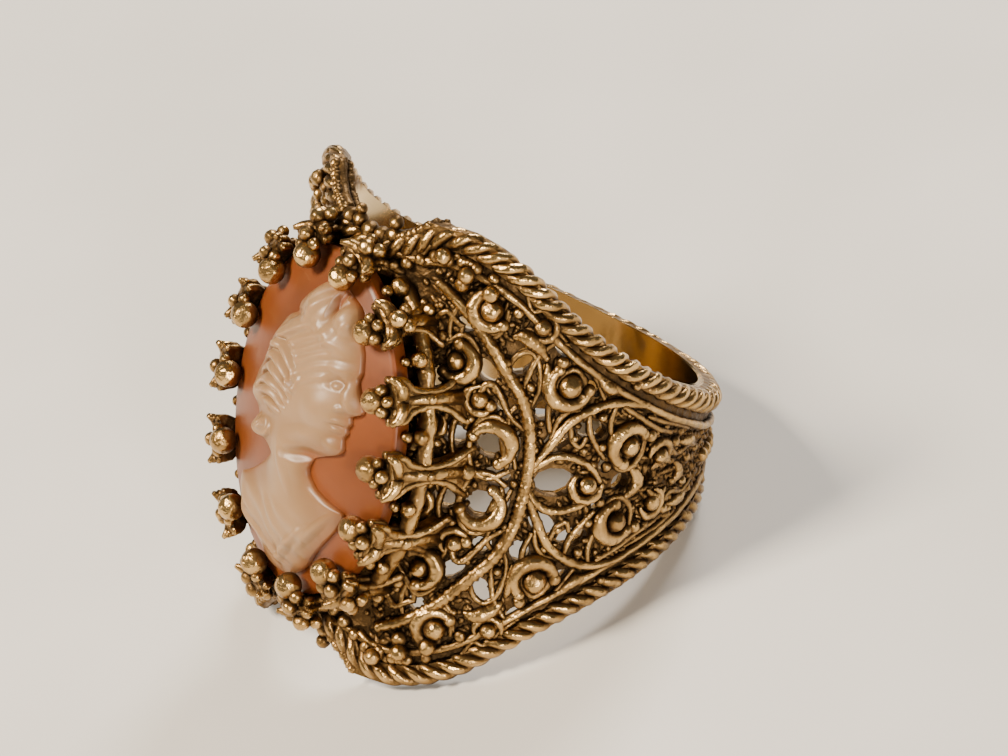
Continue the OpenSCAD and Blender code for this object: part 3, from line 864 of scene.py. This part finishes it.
class RING_OT_granules(bpy.types.Operator):
    """Solders granules on the band: some placed, the small ones scattered between the wires."""

    bl_idname = "ring.granules"
    bl_label = "Granules"

    def execute(self, context):
        sizes = context.scene.ring_sizes
        dice = random.Random(sizes.seed)
        spots = [(on_band(side * a, up * z, PLATE_R + r * 0.5), r)
                 for side, up in QUARTERS for a, z, r in GRANULES]
        # A row of beads round the back
        spots += [(on_band(a, 0, PLATE_R + 0.1), 0.4) for a in range(130, 231, 5)]
        solder(balls("granules", spots))
        small = []
        for side, up in QUARTERS:
            for angle in range(26, 124, 3):
                z = 0.3
                while z < edge_half(angle) - 1.5:
                    a, h = angle + dice.uniform(-1.2, 1.2), z + dice.uniform(-0.25, 0.25)
                    if h > 0.1 and clear_of(a, h, GAPS, 0.2) and clear_of(a, h, CURLS + CUPS, 0.1):
                        r = sizes.granule_r * dice.uniform(0.6, 1.15)
                        small.append((on_band(side * a, up * h, PLATE_R + 0.25 * r), r))
                    z += dice.uniform(0.6, 0.95)
        solder(balls("small_granules", small, detail=1))
        lumps = []
        for side, up in QUARTERS:
            for step in range(56, 362, 4):
                angle = step / 2
                z = dice.uniform(0, 0.4)
                while z < edge_half(angle) - 1.2:
                    a, h = angle + dice.uniform(-0.8, 0.8), z
                    if clear_of(a, h, GAPS, 0.05):
                        stretch = (dice.uniform(1.1, 2.4), dice.uniform(0.7, 1.05), dice.uniform(0.7, 1.1))
                        lumps.append((on_band(side * a, up * h, PLATE_R - 0.02), dice.uniform(0.15, 0.24),
                                      laid(side * a, dice.uniform(0, math.pi), stretch)))
                    z += dice.uniform(0.36, 0.6)
        solder(balls("cast_lumps", lumps, detail=1))
        return {"FINISHED"}


class RING_OT_lobes(bpy.types.Operator):
    """Dresses the ear lobes with veins, grain and beads, and lays the crest over the dips."""

    bl_idname = "ring.lobes"
    bl_label = "Ear lobes"

    def execute(self, context):
        runs, beads = [], []
        for side, up in QUARTERS:
            for radius, spots in VEINS:
                line = smooth_run(spots, 5)
                runs.append(([on_band(side * p.x, up * p.y, PLATE_R + 0.1) for p in line],
                             [radius] * len(line)))
            for angle in range(3, 40, 4):
                beads.append((on_band(side * angle, up * (edge_half(angle) - 0.85), PLATE_R + 0.16), 0.33))
            beads += [(on_band(side * a, up * z, PLATE_R + 0.5), 0.42) for a, z in FOOT_BEADS]
        for up in (1, -1):
            beads += [(on_band(a, up * z, PLATE_R - 0.1), r) for a, z, r in CREST]
            edge = []
            for step in range(-47, 48, 2):
                x = DIP_R * math.sin(math.radians(step))
                z = DIP_H + DIP_R - DIP_R * math.cos(math.radians(step)) - 0.05
                angle = math.degrees(math.asin(x / CREST_TRACK))
                edge.append(on_band(angle, up * z, CREST_TRACK))
            runs.append((edge, [0.46] * len(edge)))
            for turn in (1, -1):
                edge = [on_band(turn * a, up * (edge_half(a) + 0.08), CREST_TRACK) for a in range(24, 50, 2)]
                runs.append((edge, [0.44] * len(edge)))
        grain = []
        dice = random.Random(5)
        for side, up in QUARTERS:
            for step in CUT_FACE:
                for track in (9.15, 9.5, 9.9):
                    angle, z = self.cut(step + dice.uniform(-1, 1), track)
                    if z < EAR_HALF + RAIL_HALF - 0.05:
                        grain.append((on_band(side * angle, up * z, track), dice.uniform(0.2, 0.3)))
            face = [self.cut(step, 9.6) for step in CUT_FACE]
            runs.append(([on_band(side * a, up * z, 9.6) for a, z in face], [0.3] * len(face)))
        solder(balls("lobe_grain", grain, detail=1))
        solder(tubes("lobe_veins", runs))
        solder(balls("lobe_beads", beads))
        return {"FINISHED"}

    def cut(self, step, track):
        """Angle and height of a spot on the cut face of a lobe, by degrees round the dip."""
        reach = DIP_R - RAIL_HALF
        x = reach * math.sin(math.radians(step))
        return math.degrees(math.asin(x / track)), DIP_H + DIP_R - reach * math.cos(math.radians(step))


class RING_OT_claws(bpy.types.Operator):
    """Rounds the claws with wire, and adds their horns, granules and the beads of the gallery."""

    bl_idname = "ring.claws"
    bl_label = "Claws"

    def execute(self, context):
        trims, bars, horns, beads = [], [], [], []
        offset = 0.1 + STEM_T / 2
        dice = random.Random(11)
        for i in range(CLAW_COUNT):
            a = oval_angle((i + 0.5) / CLAW_COUNT)
            x, y = oval(a, offset)
            turn = outward(a)
            foot = math.sqrt((PLATE_R - 0.4) ** 2 - x * x)
            bar = CLAW_H - BAR_DROP
            tall = bar - foot

            def spot(u, v, h):
                """u along the oval, v outward from the claw's middle, h above the finger axis."""
                return in_setting(x + u * math.cos(turn) + v * math.sin(turn),
                                  y - u * math.sin(turn) + v * math.cos(turn), h)
            rows = [(w, foot + share * tall) for w, share in CLAW]
            for flank in (1, -1):
                line = smooth_run([(flank * (w - 0.06), h) for w, h in rows[:-1]], 4)
                trims.append(([spot(p.x, 0.24, p.y) for p in line], [0.2] * len(line)))
                trims.append(([spot(p.x, -0.16, p.y) for p in line[10:]], [0.2] * len(line[10:])))
                beads.append((spot(flank * 0.5, -0.4, bar + 0.28), 0.32))
                horns.append(([spot(flank * u, v, bar + h) for u, v, h in HORN], [0.34, 0.3, 0.24, 0.12]))
            bars.append(([spot(u, 0.1 + 0.1 * math.cos(u), bar - 0.1 - 0.12 * math.cos(u * 1.5))
                          for u in (-1, -0.7, -0.35, 0, 0.35, 0.7, 1)],
                         [0.22, 0.27, 0.27, 0.3, 0.27, 0.27, 0.22]))
            bars.append(([spot(0, 0.2, foot + 0.2), spot(0, 0.24, foot + 0.45 * tall), spot(0, 0.15, bar)],
                         [0.42, 0.34, 0.3]))
            beads += [(spot(0, 0.42, foot + 0.55 * tall), 0.3), (spot(0, 0.1, bar + 0.32), 0.34)]
            if abs(y) > abs(x):
                beads += [(spot(u, v, bar + h), r) for u, v, h, r in TAIL_BEADS]
            b = oval_angle(i / CLAW_COUNT)
            beads += [(in_setting(*oval(b, out), h), r) for out, h, r in GALLERY_BEADS]
        steps = 140
        wire = [oval(oval_angle(i / steps), offset) for i in range(steps)]
        gallery = [([in_setting(x, y, GALLERY_H) for x, y in wire], [0.4] * steps)]
        beads = [(point, r * dice.uniform(0.85, 1.15)) for point, r in beads]
        solder(tubes("gallery_wire", gallery, closed=True, uneven=0.12), self.gold())
        solder(tubes("claw_trims", trims, uneven=0.12), self.gold())
        solder(tubes("claw_bars", bars, uneven=0.12), self.gold())
        solder(tubes("claw_horns", horns, sides=3, uneven=0.1), self.gold())
        solder(balls("claw_beads", beads), self.gold())
        return {"FINISHED"}

    def gold(self):
        return aged_and_shaded_gold("Claw gold", 0.0094, 0.0107, 0.25)


class RING_OT_shell(bpy.types.Operator):
    """Turns the smooth domed ground of the cameo in the place of its plain solid."""

    bl_idname = "ring.shell"
    bl_label = "Cameo ground"

    def execute(self, context):
        bm = bmesh.new()
        back = RIM_H - RIM_T
        profile = [(0, back), (0.9, back), (0.97, back), (1, back + 0.2), (1, RIM_H - 0.05)]
        profile += [(1 - i / 24, RIM_H + DOME_RISE * (1 - (1 - i / 24) ** 2)) for i in range(25)]
        spots = [bm.verts.new((share, 0, h)) for share, h in profile]
        edges = [bm.edges.new(pair) for pair in zip(spots, spots[1:])]
        bmesh.ops.spin(bm, geom=spots + edges, cent=(0, 0, 0), axis=(0, 0, 1), dvec=(0, 0, 0),
                       angle=2 * math.pi, steps=128, use_merge=True, use_duplicate=False)
        bmesh.ops.remove_doubles(bm, verts=bm.verts, dist=1e-5)
        bmesh.ops.recalc_face_normals(bm, faces=bm.faces)
        bmesh.ops.scale(bm, vec=(CAMEO_W / 2, CAMEO_L / 2, 1), verts=bm.verts)
        bmesh.ops.transform(bm, matrix=SETTING @ Matrix.Scale(MM, 4), verts=bm.verts)
        ground = piece_from(bm, "cameo_ground")
        shell = context.scene.ring_colours.shell
        dark = tuple(c * 0.78 for c in shell)
        pale = tuple(min(1, c * 1.22) for c in shell)
        stops = [(0.3, dark), (0.5, shell), (0.7, pale)]
        looks = shell_material("Orange shell", stops, None, 0.4, 0.00001, 0.35)
        finish_piece(ground, looks)
        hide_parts("cameo_shell")
        return {"FINISHED"}


class RING_OT_figure(bpy.types.Operator):
    """Carves the bust finely, on the same outline and swellings as its plain solid."""

    bl_idname = "ring.figure"
    bl_label = "Carved bust"

    def execute(self, context):
        low, high = OUTLINE[0][0], OUTLINE[-1][0]
        left = [(o[0], o[1]) for o in OUTLINE]
        right = [(o[0], o[2]) for o in OUTLINE]
        bm = bmesh.new()
        bmesh.ops.create_grid(bm, x_segments=170, y_segments=280, size=1)
        for v in bm.verts:
            across, along = v.co.x, v.co.y
            y = low + (high - low) * (along + 1) / 2
            share = (across + 1) / 2
            x = eased(y, left) * (1 - share) + eased(y, right) * share
            v.co = (x, y, dome(x, y) + self.carved(x, y, across, along))
        rim = [e for e in bm.edges if e.is_boundary]
        made = bmesh.ops.extrude_edge_only(bm, edges=rim)
        for v in made["geom"]:
            if isinstance(v, bmesh.types.BMVert):
                v.co.z = dome(v.co.x, v.co.y) + 0.01
        bmesh.ops.recalc_face_normals(bm, faces=bm.faces)
        thick = [min(1.0, max(0.0, (v.co.z - dome(v.co.x, v.co.y)) / 0.75)) for v in bm.verts]
        bmesh.ops.transform(bm, matrix=SETTING @ Matrix.Scale(MM, 4), verts=bm.verts)
        figure = piece_from(bm, "carved_bust")
        layer = figure.data.attributes.new("thickness", "FLOAT", "POINT")
        layer.data.foreach_set("value", thick)
        pale = context.scene.ring_colours.carving
        stops = [(0.05, (0.2, 0.055, 0.013)), (0.36, (0.23, 0.1, 0.04)), (0.66, pale),
                 (1.0, (0.32, 0.195, 0.1))]
        looks = shell_material("Pale carving", stops, "thickness", 0.38, 0.00002, 0.3)
        finish_piece(figure, looks)
        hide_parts("cameo_figure")
        return {"FINISHED"}

    def carved(self, x, y, across, along):
        height = CARVE_BASE
        for sx, sy, rx, ry, turn, tall in SWELLINGS:
            dx, dy = x - sx, y - sy
            if abs(dx) > rx + ry or abs(dy) > rx + ry:
                continue
            c, s = math.cos(math.radians(turn)), math.sin(math.radians(turn))
            inside = 1 - ((dx * c + dy * s) / rx) ** 2 - ((dy * c - dx * s) / ry) ** 2
            if inside > 0:
                height += tall * inside * inside
        height += self.strands(x, y)
        roll = 1 - 0.45 * max(abs(across) ** 6, abs(along) ** 24)
        return max(0.12, height * roll)

    def strands(self, x, y):
        """Rolls, strands and knot of the hair behind the face, and soft folds over the bust."""
        rolls = max(0.0, 1 - ((x + 0.8) / 1.8) ** 2 - ((y - 2.2) / 2) ** 2)
        among = min(1, rolls * 2.5)
        arc = y - 1.17 + 0.3 * (x + 0.9) ** 2
        ridge = abs(math.cos(arc * 5.24)) ** 0.7
        wave = 0.44 * (ridge - 0.65) * among
        swept = max(0.0, 1 - ((x - 0.3) / 3.2) ** 2 - ((y - 3.8) / 1.7) ** 2)
        combed = math.sin((y - 0.75 * x + 0.1 * x * x) * 11 + math.sin(x * 2))
        wave += 0.035 * combed * min(1, swept * 2) * (1 - among)
        wave += 0.01 * math.sin(arc * 36) * among
        plume = max(0.0, 1 - ((x - 1.2) / 2.6) ** 2 - ((y - 6.1) / 1.3) ** 2)
        wave += 0.045 * math.sin((x - 0.3 * (y - 5) ** 2) * 8) * min(1, plume * 2)
        knot = max(0.0, 1 - ((x + 1.5) / 1) ** 2 - ((y + 0.75) / 0.65) ** 2)
        wave += 0.08 * math.sin(math.hypot(x + 1.3, y + 0.5) * 13) * min(1, knot * 2)
        cloth = max(0.0, 1 - (x / 4) ** 2 - ((y + 5.6) / 2.1) ** 2)
        fold = math.sin((x * 0.9 + y * 1.1) * 5 + math.sin(x * 2)) * 0.04 * min(1, cloth * 2)
        return wave + fold


class RING_PT_panel(bpy.types.Panel):
    """Lists the ring's pieces."""

    bl_idname = "RING_PT_panel"
    bl_label = "Cameo ring"
    bl_space_type = "VIEW_3D"
    bl_region_type = "UI"
    bl_category = "Ring"

    def draw(self, context):
        for group in (context.scene.ring_sizes, context.scene.ring_colours):
            for name in group.bl_rna.properties.keys():
                if name not in ("rna_type", "name"):
                    self.layout.prop(group, name)
        for piece in PIECES:
            self.layout.operator(piece.bl_idname)


PIECES = (RING_OT_metal, RING_OT_ropes, RING_OT_scrolls, RING_OT_granules, RING_OT_lobes, RING_OT_claws,
          RING_OT_shell, RING_OT_figure, RING_OT_stage)
CLASSES = (RingSizes, RingColours, *PIECES, RING_PT_panel)


def register():
    for made in CLASSES:
        bpy.utils.register_class(made)
    bpy.types.Scene.ring_sizes = bpy.props.PointerProperty(type=RingSizes)
    bpy.types.Scene.ring_colours = bpy.props.PointerProperty(type=RingColours)


def unregister():
    del bpy.types.Scene.ring_colours
    del bpy.types.Scene.ring_sizes
    for made in reversed(CLASSES):
        bpy.utils.unregister_class(made)


def main():
    register()
    bpy.ops.ring.metal()
    bpy.ops.ring.ropes()
    bpy.ops.ring.scrolls()
    bpy.ops.ring.granules()
    bpy.ops.ring.lobes()
    bpy.ops.ring.claws()
    bpy.ops.ring.shell()
    bpy.ops.ring.figure()
    bpy.ops.ring.stage()


if __name__ == "__main__":
    main()
